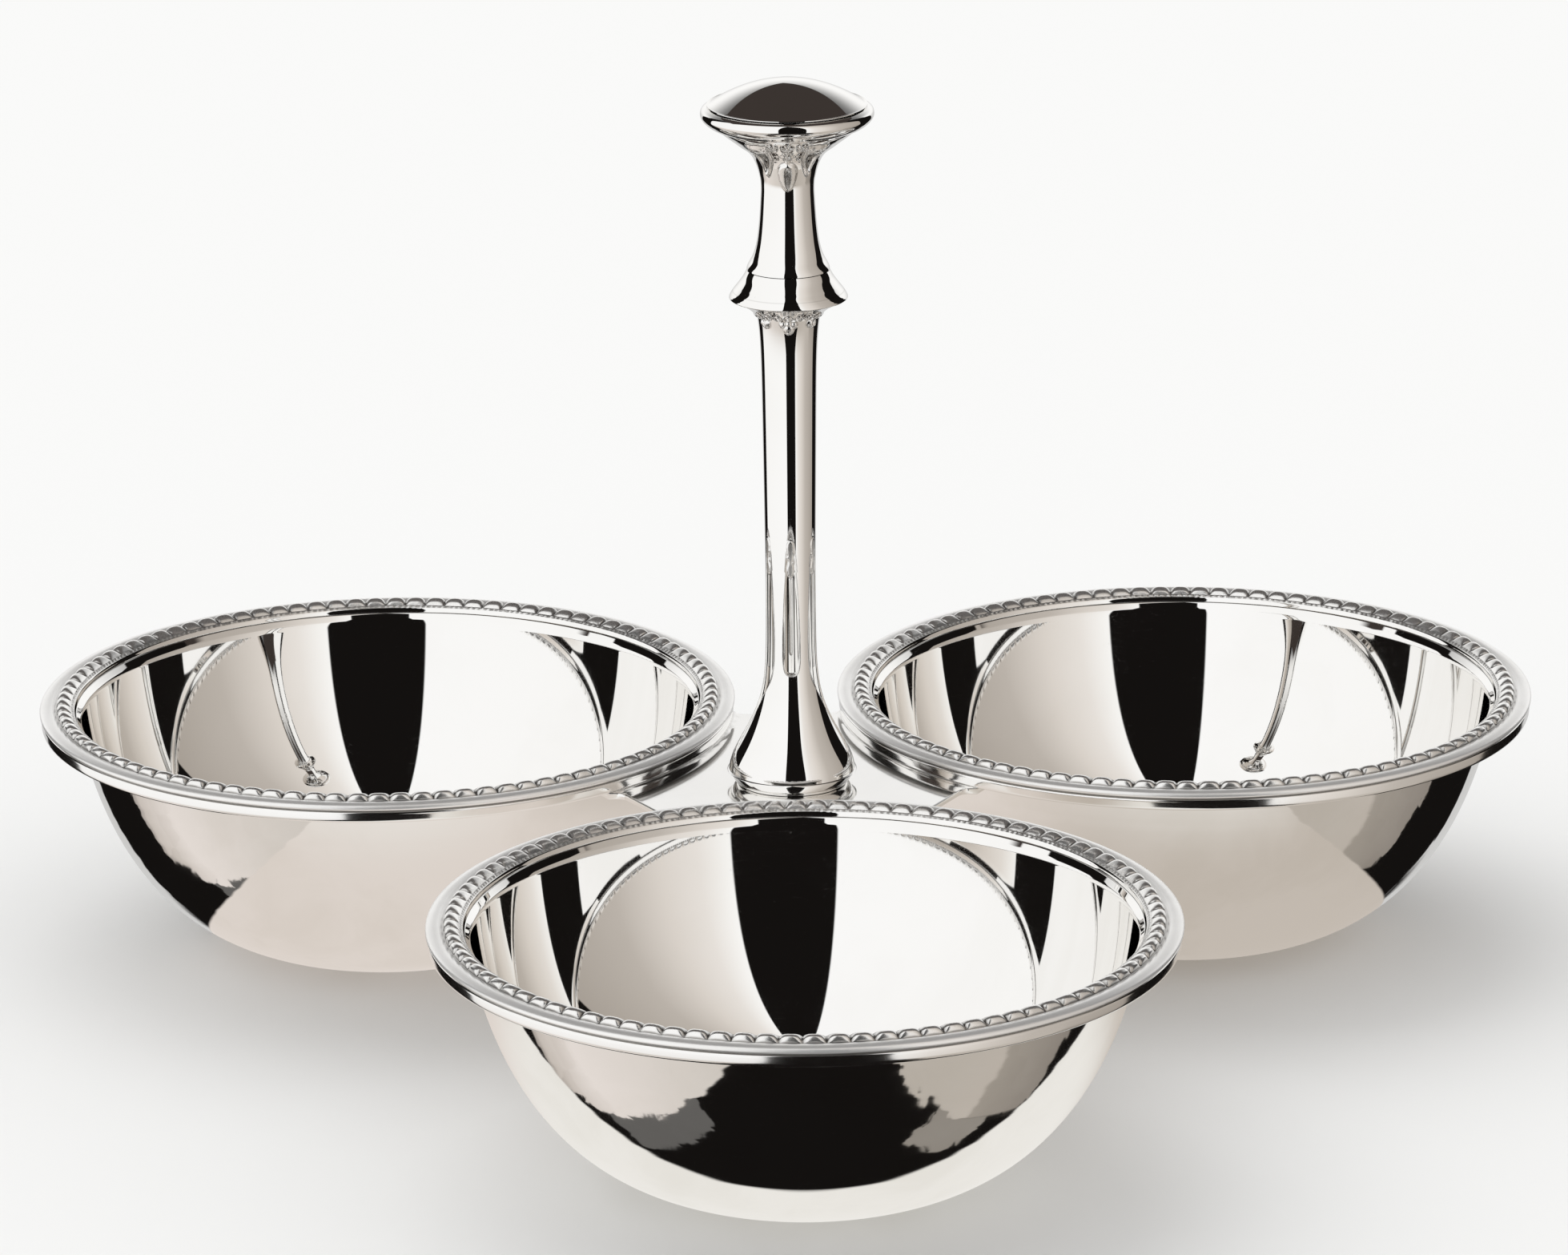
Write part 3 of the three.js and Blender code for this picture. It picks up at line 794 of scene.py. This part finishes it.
def lobeShare(angle, draw, steps):
    # 0 on a lobe's crest and 1 in the gap to the next, for each step inwards
    r = border
    across = np.linspace(0, 1, steps)[:, None]
    lobe = angle / (2 * pi) * r["lobes"]
    number = np.floor(lobe).astype(int) % r["lobes"]
    shift = (draw.uniform(-1, 1, r["lobes"]) * r["uneven"])[number]
    depth = 1 - (draw.uniform(0, 1, r["lobes"]) * r["uneven"] * 2)[number]
    away = np.clip(np.abs(2 * (lobe - np.floor(lobe)) - 1 + shift * np.sin(across * pi)), 0, 1)
    tight = 1 + 0.8 * across
    share = (1 - np.sqrt(1 - np.clip(away, 0, 0.995) ** (r["roundness"] * tight))) * depth
    # darker in the gaps between lobes, most at their deep outer ends; the band over the lobes' steep outer
    # ends is painted shadow
    deep = away ** 6 * np.interp(across, (0, 0.5, 1), (1, 0.95, 0.5))
    deep = np.maximum(deep, 0.9 * np.clip(1 - across * 9, 0, 1) * np.ones_like(away))
    return share, deep


for side in sides:
    makeBowl(side)
    makeBorder(side)
    print(side, "bowl and border made")


# Plate with its solder
plate = {
    "lap": 3.2,
    "tips": ((-30, 13.1), (90, 3.1), (210, 13.1)),  # where each point looks, and how far it stops short
    "fillet": 2.5, "bore": 2.3, "rounding": 0.28,
    "around": 900,
    "topRows": 84, "underRows": 14, "topCrowding": 0.62,
    "solderReach": {"front": 0.4, "right": 0.45, "left": 0.9},  # the left bowl's seam is the heaviest
    "solderRise": {"front": 0.08, "right": 0.1, "left": 0.2},
    "solderUnder": 0.55,  # it fades over this distance inside the band
    "ragged": 0.3, "raggedLengths": (11, 6.1, 3.7),
    "streaks": 0.05, "streakLengths": (0.9, 0.5),
    "waver": 0.12, "waverLengths": (9, 5),
    "dullHeight": 0.3,
    "sag": 0.05, "sagLengths": (31, 17),
}


def plateReach(angle):
    # how far the plate's edge is from the handle: laps under the bowls, and points with filleted corners
    p = plate
    axes = [bowlAxes[side] - handleAxis for side in sides]
    ring = float(np.linalg.norm(axes[0]))
    lapRadius = bowl["bandRadius"] - p["lap"]
    out = ring / 2
    aside = ring * sqrt(3) / 2
    low = np.full_like(angle, 8)
    high = np.full_like(angle, 60)

    def inside(x, y):
        keep = np.ones_like(x, bool)
        for axis in axes:
            keep &= np.hypot(x - axis[0], y - axis[1]) > lapRadius
        for look, inset in p["tips"]:
            c, s = cos(radians(look)), sin(radians(look))
            ahead = x * c + y * s
            across = np.abs(y * c - x * s)
            line = out - inset
            middle = line + p["fillet"]
            reach = bowl["bandRadius"] + p["fillet"]
            centre = aside - sqrt(reach**2 - (middle - out) ** 2)
            clear = np.hypot(ahead - middle, across - centre) > p["fillet"]
            keep &= (ahead < line) | ((across > centre) & clear & (ahead < middle))
        return keep

    for _ in range(40):
        middle = (low + high) / 2
        good = inside(middle * np.cos(angle), middle * np.sin(angle))
        low = np.where(good, middle, low)
        high = np.where(good, high, middle)
    return low


def solderBeside(side, x, y):
    # how high the solder stands round one bowl
    p = plate
    seed = sides.index(side)
    bx, by = bowlAxes[side] - handleAxis
    gap = np.hypot(x - bx, y - by) - bowl["bandRadius"]
    bearing = np.arctan2(y - by, x - bx) * bowl["bandRadius"]
    ragged = 1 + p["ragged"] * wave(bearing, p["raggedLengths"], 40 + seed)
    reach = p["solderReach"][side] * ragged.clip(0.4, 1.7)
    rise = (1 - (gap / reach).clip(0, 1)) ** 1.8
    waver = p["waver"] * wave(bearing, p["waverLengths"], 60 + seed)
    streak = 1 + p["streaks"] * wave(gap + waver, p["streakLengths"], 70 + seed)
    return rise * np.clip(1 + gap / p["solderUnder"], 0, 1) * p["solderRise"][side] * streak


def makePlate():
    p = plate
    angle = evenly(p["around"])
    thick = level["plateTop"] - level["plateBottom"]
    edge = p["rounding"]
    rim = plateReach(angle) - edge
    out = np.linspace(0, 1, p["topRows"])[:, None] ** p["topCrowding"]
    turn = np.linspace(0, pi / 2, 4)[1:, None]
    back = np.linspace(1, 0, p["underRows"])[1:, None]
    radius = np.concatenate([
        p["bore"] + (rim - p["bore"]) * out,
        rim + edge * np.sin(turn),
        rim + edge * np.cos(turn),
        p["bore"] + (rim - p["bore"]) * back,
    ])
    height = np.concatenate([
        np.full_like(out, thick),
        thick - edge + edge * np.cos(turn),
        edge - edge * np.sin(turn),
        np.zeros_like(back),
    ])
    x = radius * np.cos(angle)
    y = radius * np.sin(angle)
    top = np.arange(len(radius))[:, None] < p["topRows"]
    solder = top * np.maximum.reduce([solderBeside(side, x, y) for side in sides])
    sag = p["sag"] * top * (0.5 + 0.5 * wave(x + 0.4 * y, p["sagLengths"], 3))
    grid = np.stack([x, y, level["plateBottom"] + (height + solder - sag)], axis=-1)
    dull = (solder / p["dullHeight"]).clip(0, 1)
    addPiece(
        "three_point_plate", grid[::-1], "link_plate", "polished_silver", "plate silver",
        sharp=60, solder=dull[::-1],
    )


makePlate()
print("plate made")


# Handle: radii and heights of each turned piece, heights from the seam under the borders
handle = {
    "wall": 1.2, "footWall": 7.8, "collarWall": 3.6, "cupWall": 0.9, "leastBore": 3.1,
    "innerEvery": 8,  # the inside has one ring for so many outside
    "castRise": (0.08, 0.15),  # relief that counts as cast, and is less smooth
    "around": 480,
    "footRing": [(9.9, -2.2), (10.2, -2), (10.6, -1.5), (10.9, -0.9), (11.05, -0.4), (11.1, -0.05)],
    "collar": [
        (6.25, 85.6), (6.4, 86), (7.2, 86.8), (8.4, 87.6), (9.5, 88.2), (10.25, 88.48), (10.58, 88.6),
        (10.64, 88.72), (10.6, 88.88), (10.45, 89.2), (10.08, 89.8), (9.2, 90.95), (8.1, 92.5), (7.42, 93.75),
    ],
    "collarCrease": (89.84, 90, 0.2),
    "neck": [
        (7.42, 93.88), (7.42, 94.1), (7.3, 94.5), (7, 95.1), (6.55, 95.9), (6.12, 96.9), (5.78, 98.1),
        (5.5, 99.5), (5.28, 101.2), (5.1, 103), (4.96, 105), (4.84, 107), (4.77, 108.9), (4.85, 110.2),
        (5.05, 111.2), (5.35, 112.4), (5.8, 113.6), (6.45, 114.8), (7.3, 115.7), (8.5, 116.55),
        (10.05, 117.75), (11.3, 118.7), (12.2, 119.5), (12.5, 119.9),
    ],
    "knobBase": [
        (12.5, 119.92), (13.1, 119.98), (14, 120.4), (14.75, 120.95), (15.25, 121.55), (15.47, 122.1),
        (15.46, 122.5), (15.36, 122.9), (15.15, 123.2), (14.85, 123.42), (14.5, 123.58), (14.25, 123.62),
    ],
    "domeRadius": 13.95,
    "domeBead": [(14.2, 0), (14.32, 0.08), (14.3, 0.19), (14.17, 0.26), (14.04, 0.22), (13.98, 0.13)],
    "domeSteps": 60,
    "domeUnder": (0.8, 0.9),  # how far the inside is within, and below
    "domeAround": 360,
}
stem = {
    "height": 85.6, "waist": 4.55, "top": 5.7,
    "footLip": [(11.15, 0), (11.6, 0.03), (11.75, 0.12), (11.68, 0.24), (11.45, 0.34)],
    "flareFoot": 11.45, "flareHeight": 10.2, "flarePower": 1.85,
    "waistShare": 0.45, "lipShare": 0.55, "lipPower": 12,
    "heights": (
        (0.55, 19.5, 90), (19.5, 22, 36), (22, 24, 24), (24, 33, 20), (33, 46.5, 150), (46.5, 82.5, 58),
        (82.5, 85.6, 42),
    ),
    "reeds": 6,
    "look": -91.5,  # the first reed and the cast ornaments face this way
    "reedAngles": (17.5, 54, 10),  # degrees either side of a reed, steps there, steps between reeds
    "reedFeet": (22.9, 19.95, 19.95),  # the front and back reeds start higher
    "reedFootHalf": ((0, 0.1, 0.35, 0.8, 1.45), (0, 0.55, 0.92, 1.16, 1.32)),
    "reedHeadHalf": ((30, 33.6, 35, 35.7, 36.4, 37.4, 37.6), (1.32, 1.28, 1.14, 0.9, 0.68, 0.5, 0)),
    "channelSlope": 0.308, "channelSweep": 0.1445,
    "rodHalf": 0.56, "rodTop": 37.3, "rodDrop": 0.5,
    "dropHalf": (
        (37.5, 37.7, 38.1, 38.8, 39.4, 40.1, 40.5, 41, 42, 43.2, 43.9, 44.3, 44.5),
        (0, 0.35, 0.56, 0.66, 0.68, 0.5, 0.46, 0.52, 0.66, 0.76, 0.68, 0.45, 0),
    ),
    # dropShade: how dark the painted reflection inside each drop is
    "dropShade": 0.8, "dropRise": 0.2, "dropEdge": 0.3,
    "dropBeads": ((0.5, 40.4), (-0.48, 41.3), (0.55, 42.1)),  # curls on its edge: aside and height
    "dropBead": ((0.16, 0.26), 0.28),
    "pendantLobes": (  # under the collar: middle, half sizes, and how far it rises or darkens
        ((-1, 84.95), (0.62, 0.7), 0.5), ((1, 84.95), (0.62, 0.7), 0.5), ((0, 85.1), (0.6, 0.6), 0.55),
        ((0, 84.15), (0.98, 1.05), 0.5),
    ),
    "pendantSlit": ((0, 84.05), (0.14, 0.7), 0.9),
    "sideLobes": (
        ((-0.5, 84.85), (0.52, 0.75), 0.5), ((0.45, 84.75), (0.5, 0.8), 0.5), ((0, 84.3), (0.4, 0.5), 0.4),
    ),
    "sideLooks": (-48, 48),
    "collarLobes": (-52, -34, -17, 0, 17, 34, 52),
    "collarLobe": ((0, 86.2), (0.8, 0.62), 0.4),
}
ornament = {
    "neckAround": 640,
    "neckHeights": ((93.88, 94.6, 14), (94.6, 108.8, 56), (108.8, 119.9, 190)),
    "pendantHalf": (
        (109.3, 109.5, 110.3, 111.4, 112.7, 113.7, 114.4, 114.75),
        (0, 0.5, 1, 1.42, 1.66, 1.52, 1.05, 0),
    ),
    "pendantSection": ((0, 0.1, 0.32, 0.55, 1), (0, 0.4, 0.5, 0.6, 0.9)),
    "leafHeights": (111.6, 118.6),
    "leafLooks": (40, 29),  # degrees from the pendant, at the tip and at the root
    "leafHalf": 2.15,
    "leafRoot": (0.85, 0.95, 0.85),  # below the top, half height, rise
    "leafRim": (0.55, 0.6),  # width, rise
    "leafShade": 0.95,
    "pendantShade": ((0, 111.9), (0.62, 1.7), 0.85),
    "pendantRidge": ((0, 115.6), (0.42, 1.5), 0.5),
    "bars": ((0, 0.8), (-2.45, 0.32), (2.45, 0.32)),  # aside, half width
    "barHeight": (117.1, 119.3),
    "barRise": 0.6,
    "melted": 14,
}
facing = (stem["look"], stem["look"] + 180)  # ornaments are at the front and the back


def bump(u, v, middle, size, height):
    # a rounded lobe; u runs across and v up
    inside = 1 - ((u - middle[0]) / size[0]) ** 2 - ((v - middle[1]) / size[1]) ** 2
    return height * np.sqrt(np.clip(inside, 0, None))


def plateau(u, v, halves, height, edge):
    # a flat-topped patch along v, whose half width follows a list of heights and widths
    half = np.interp(v, *halves, left=0, right=0)
    rise = climb(half, np.abs(u), edge)
    return height * rise * rise * (3 - 2 * rise)


def softened(relief, passes=2):
    # castings lose their sharp edges in polishing
    for _ in range(passes):
        for axis in (0, 1):
            relief = (np.roll(relief, 1, axis) + 2 * relief + np.roll(relief, -1, axis)) / 4
    return relief


def aroundFrom(angle, look, radius):
    # distance round the surface from the direction that an ornament faces
    away = angle - np.radians(look)
    return ((away + pi) % (2 * pi) - pi) * radius


def blank(outside, angle):
    # radius, height, and neither relief nor shade yet
    empty = np.zeros((len(outside), len(angle)))
    return outside[:, :1], outside[:, 1:], empty, empty


def hollowPiece(name, node, outside, around, relief=0, groove=0, wall=handle["wall"]):
    # outside runs up; the inside comes back down a wall's thickness within it
    inner = outside[:: -handle["innerEvery"]].copy()
    inner[:, 0] = np.maximum(inner[:, 0] - wall, handle["leastBore"])
    grid = np.concatenate([turned(outside, around, relief), turned(inner, around)])
    cast = np.zeros(grid.shape[:2])
    dark = np.zeros(grid.shape[:2])
    cast[: len(outside)] = climb(relief, *handle["castRise"])
    dark[: len(outside)] = groove
    grid = grid + [0, 0, level["seam"]]
    addPiece(name, grid, node, "handle_silver", "handle silver", sharp=55, groove=dark, cast=cast)


def stemLine(height):
    # the radius at each height: a flared foot, a waist and a lip
    s = stem
    flare = np.exp(-((height / s["flareHeight"]) ** s["flarePower"]))
    widening = np.clip(height / s["height"] - s["waistShare"], 0, None) / (1 - s["waistShare"])
    lip = (1 - s["lipShare"]) * widening + s["lipShare"] * widening ** s["lipPower"]
    return s["waist"] + (s["flareFoot"] - s["waist"]) * flare + (s["top"] - s["waist"]) * lip


def stemAngles():
    # close steps across each reed, and wide ones between
    s = stem
    beside, dense, sparse = s["reedAngles"]
    pitch = 360 / s["reeds"]
    one = np.concatenate([
        np.linspace(-beside, beside, dense),
        np.linspace(beside, pitch - beside, sparse + 2)[1:-1],
    ])
    return np.radians(np.concatenate([one + s["look"] + i * pitch for i in range(s["reeds"])]))


def makeStem():
    s = stem
    heights = spread(*s["heights"])
    outside = joined(s["footLip"], paired(stemLine(heights), heights))
    angle = stemAngles()
    radius, v, relief, dark = blank(outside, angle)
    for i in range(s["reeds"]):
        u = aroundFrom(angle, s["look"] + i * 360 / s["reeds"], radius)
        relief = relief + reedRelief(u, v, s["reedFeet"][i % 3])
        # painted dark reflection inside each drop
        dark = np.maximum(dark, s["dropShade"] * plateau(u, v, s["dropHalf"], 1, 2 * s["dropEdge"]) ** 2)
    for look in facing:
        u = aroundFrom(angle, look, radius)
        # painted shade in the pendant's slit
        dark = highest(dark, bump(u, v, *s["pendantSlit"]))
        relief = highest(relief, lobed(u, v, s["pendantLobes"]))
        for aside in s["sideLooks"]:
            u = aroundFrom(angle, look + aside, radius)
            relief = highest(relief, lobed(u, v, s["sideLobes"]))
    relief = softened(relief, 2)
    hollowPiece("fluted_stem", "stem", outside, angle, relief, np.maximum(dark, grooves(relief, 0.06)))


def reedRelief(u, v, foot):
    # a sunk channel with a round rod standing in it, and two drops above
    s = stem
    half = np.minimum(np.interp(v - foot, *s["reedFootHalf"], left=0), np.interp(v, *s["reedHeadHalf"]))
    near = np.clip(half - np.abs(u), 0, None)
    channel = s["channelSlope"] * near + s["channelSweep"] * near * (half + np.abs(u))
    past = np.maximum(np.maximum(foot + 0.5 - v, v - s["rodTop"]), 0)
    rod = np.clip(s["rodHalf"] ** 2 - u**2 - (0.8 * past) ** 2, 0, None)
    sunk = np.maximum(-channel, np.where(rod > 0, np.sqrt(rod) - s["rodDrop"], -9))
    drop = plateau(u, v, s["dropHalf"], s["dropRise"], s["dropEdge"])
    for bead in s["dropBeads"]:
        drop = np.maximum(drop, bump(u, v, bead, *s["dropBead"]))
    return sunk + drop


def highest(*reliefs):
    return np.maximum.reduce(np.broadcast_arrays(*reliefs))


def lobed(u, v, lobes):
    # a small cast ornament, built up from rounded lobes
    return highest(*(bump(u, v, *lobe) for lobe in lobes))


def grooves(relief, reach):
    # darker where the surface starts to rise, at the foot of an ornament
    step = np.abs(np.gradient(relief, axis=0)) + np.abs(np.gradient(relief, axis=1))
    return np.clip(step * 10, 0, 1) * (np.abs(relief) < reach) * (step > 0.008)


def makeCollar():
    # a turned cone with a crease above its rim, and a row of lobes round its foot at the front and back
    outside = smoothLine(handle["collar"], 220)
    angle = evenly(handle["around"])
    radius, v, relief, _ = blank(outside, angle)
    for look in facing:
        for aside in stem["collarLobes"]:
            u = aroundFrom(angle, look + aside, radius)
            relief = np.maximum(relief, bump(u, v, *stem["collarLobe"]))
    relief = relief * (np.arange(len(outside)) < np.argmax(radius))[:, None]
    low, high, shade = handle["collarCrease"]
    # painted shade: a dark band along the crease, and darker at the lobes' feet
    dark = np.maximum(grooves(relief, 0.12), shade * ((v > low) & (v < high)))
    hollowPiece("waist_collar", "collar", outside, angle, relief, dark, handle["collarWall"])


def makeNeck():
    o = ornament
    line = smoothLine(handle["neck"], 900)
    heights = spread(*o["neckHeights"])
    outside = paired(np.interp(heights, line[:, 1], line[:, 0]), heights)
    angle = evenly(o["neckAround"])
    radius, v, relief, dark = blank(outside, angle)
    low, high = o["barHeight"]
    tall = (high - low) / 2
    bars = [((aside, low + tall), (wide, tall), o["barRise"]) for aside, wide in o["bars"]]
    for look in facing:
        u = aroundFrom(angle, look, radius)
        relief = highest(relief, pendantRelief(u, v), bump(u, v, *o["pendantRidge"]), lobed(u, v, bars))
        # painted dark reflection: a dark streak down the pendant's middle
        dark = highest(dark, bump(u, v, *o["pendantShade"]))
        for handed in (-1, 1):
            leaf, shade = leafRelief(angle, radius, v, look, handed)
            relief, dark = highest(relief, leaf), highest(dark, shade)
    relief = softened(relief, o["melted"])
    hollowPiece("upper_neck", "neck", outside, angle, relief, np.maximum(dark, grooves(relief, 0.12)))


def pendantRelief(u, v):
    o = ornament
    half = np.interp(v, *o["pendantHalf"])
    widest = max(o["pendantHalf"][1])
    inside = np.clip(1 - (u / np.maximum(half, 1e-3)) ** 2, 0, None) * (half > 0.05)
    return np.interp(np.sqrt(inside) * (half / widest) ** 0.5, *o["pendantSection"])


def leafRelief(angle, radius, v, look, handed):
    # a folded pointed leaf with raised edges: a rolled root under the knob, and its tip hanging
    o = ornament
    low, high = o["leafHeights"]
    share = climb(v, low, high - low)
    tip, root = o["leafLooks"]
    u = aroundFrom(angle, look + handed * (tip + (root - tip) * share), radius) * handed
    within = o["leafHalf"] * share**0.75 - np.abs(u)
    inside = (within > 0) & (v > low) & (v < high)
    wide, rise = o["leafRim"]
    rim = rise * np.sin(pi * climb(within, 0, wide))
    base = 0.3 * climb(within, 0, wide / 2)
    sunk = 0.55 * climb(within, wide / 2, 0.9) * climb(1 - share, 0, 0.2)
    drop, tall, swell = o["leafRoot"]
    rolled = bump(u, v, (0, high - drop), (o["leafHalf"], tall), swell)
    # painted shade in the leaf's sunk hollow, inside its raised rim
    shade = o["leafShade"] * climb(within, wide, 0.25) * inside * (rolled == 0)
    return np.maximum(np.where(inside, rim + base - sunk, 0), rolled), shade


def makeDome():
    h = handle
    edge = h["domeRadius"]
    low = level["knobSeam"]
    rise = level["top"] - low
    share = np.linspace(1, 0.02, h["domeSteps"])
    foot = h["domeBead"][-1][1]
    crown = paired(edge * share, low + foot + (rise - foot) * (1 - share**2))
    within, below = h["domeUnder"]
    few = share[::-1][::4]
    under = paired((edge - within) * few, low + (rise - below) * (1 - few**2))
    bead = [(radius, low + height) for radius, height in h["domeBead"]]
    profile = joined(under, [(edge - 0.6, low)], bead, crown)
    grid = turned(profile, h["domeAround"])
    addPiece("knob_cap", grid, "knob_dome", "handle_silver", "handle silver", ring=False, sharp=50)


footRing, knobBase = smoothLine(handle["footRing"], 40), smoothLine(handle["knobBase"], 70)
hollowPiece("foot_collar", "foot_ring", footRing, 360, wall=handle["footWall"])
makeStem()
makeCollar()
makeNeck()
hollowPiece("knob_cup", "knob_base", knobBase, handle["around"], wall=handle["cupWall"])
makeDome()
print("handle made")


# Rod and fasteners under the plate
fastening = {
    "rodRadius": 2, "rodAround": 32,
    "pitch": 0.7, "rowsPerTurn": 10, "threadDepth": 0.38, "threadLength": 9,
    "lead": 0.8,  # the rod's end is chamfered over this length
    "nutFlats": 7, "nutAround": 96,
    "nutCorner": ((0, 0.55), (0.12, 0.3025), (0.45, 0)),  # in from a face, and how far corners are cut
    "bore": 2.3, "chamfer": 0.35,
    "washerAround": 72, "washerChamfer": 0.12,
}


def makeRod():
    f = fastening
    low, high = nodeBox("tie_rod")
    threadRows = int(f["threadLength"] / f["pitch"] * f["rowsPerTurn"])
    threaded = np.linspace(0, f["threadLength"], threadRows)
    plain = np.linspace(f["threadLength"] + 1, high[2] - low[2], 12)
    heights = np.concatenate([threaded, plain])[:, None]
    angle = evenly(f["rodAround"])
    phase = (heights / f["pitch"] - angle / (2 * pi)) % 1
    cut = f["threadDepth"] * np.abs(2 * phase - 1) * (heights < f["threadLength"])
    radius = f["rodRadius"] - cut - (1 - climb(heights, 0, f["lead"])) * f["chamfer"]
    grid = swept(radius, angle, low[2] + heights)
    addPiece("threaded_rod", grid, "tie_rod", "plain_steel", "plain steel", ring=False, sharp=40)


def makeNut():
    f = fastening
    low, high = nodeBox("nut")
    angle = evenly(f["nutAround"])
    half = f["nutFlats"] / 2
    flat = half / np.cos((angle + pi / 6) % (pi / 3) - pi / 6)
    corner = half / cos(pi / 6)
    outer = [(low[2] + depth, cut) for depth, cut in f["nutCorner"]]
    outer += [(high[2] - depth, cut) for depth, cut in f["nutCorner"][::-1]]
    rows = [swept(np.minimum(flat, corner - cut), angle, height) for height, cut in outer]
    bore, c = f["bore"], f["chamfer"]
    inner = [(bore + c, high[2]), (bore, high[2] - c), (bore, low[2] + c), (bore + c, low[2])]
    rows += [swept(radius, angle, height) for radius, height in inner]
    addPiece("hexagon_nut", np.array(rows), "nut", "plain_steel", "plain steel", sharp=25)


def makeWasher(name, node):
    f = fastening
    low, high = nodeBox(node)
    outer = (high[0] - low[0]) / 2
    bore, c = f["bore"], f["washerChamfer"]
    under = [(bore, low[2]), (outer - c, low[2]), (outer, low[2] + c)]
    over = [(outer, high[2] - c), (outer - c, high[2]), (bore + c, high[2]), (bore, high[2] - c)]
    addPiece(name, turned(under + over, f["washerAround"]), node, "plain_steel", "plain steel", sharp=25)


makeRod()
makeNut()
makeWasher("flat_washer", "washer")
makeWasher("rod_boss", "knob_boss")
print("rod and fasteners made")
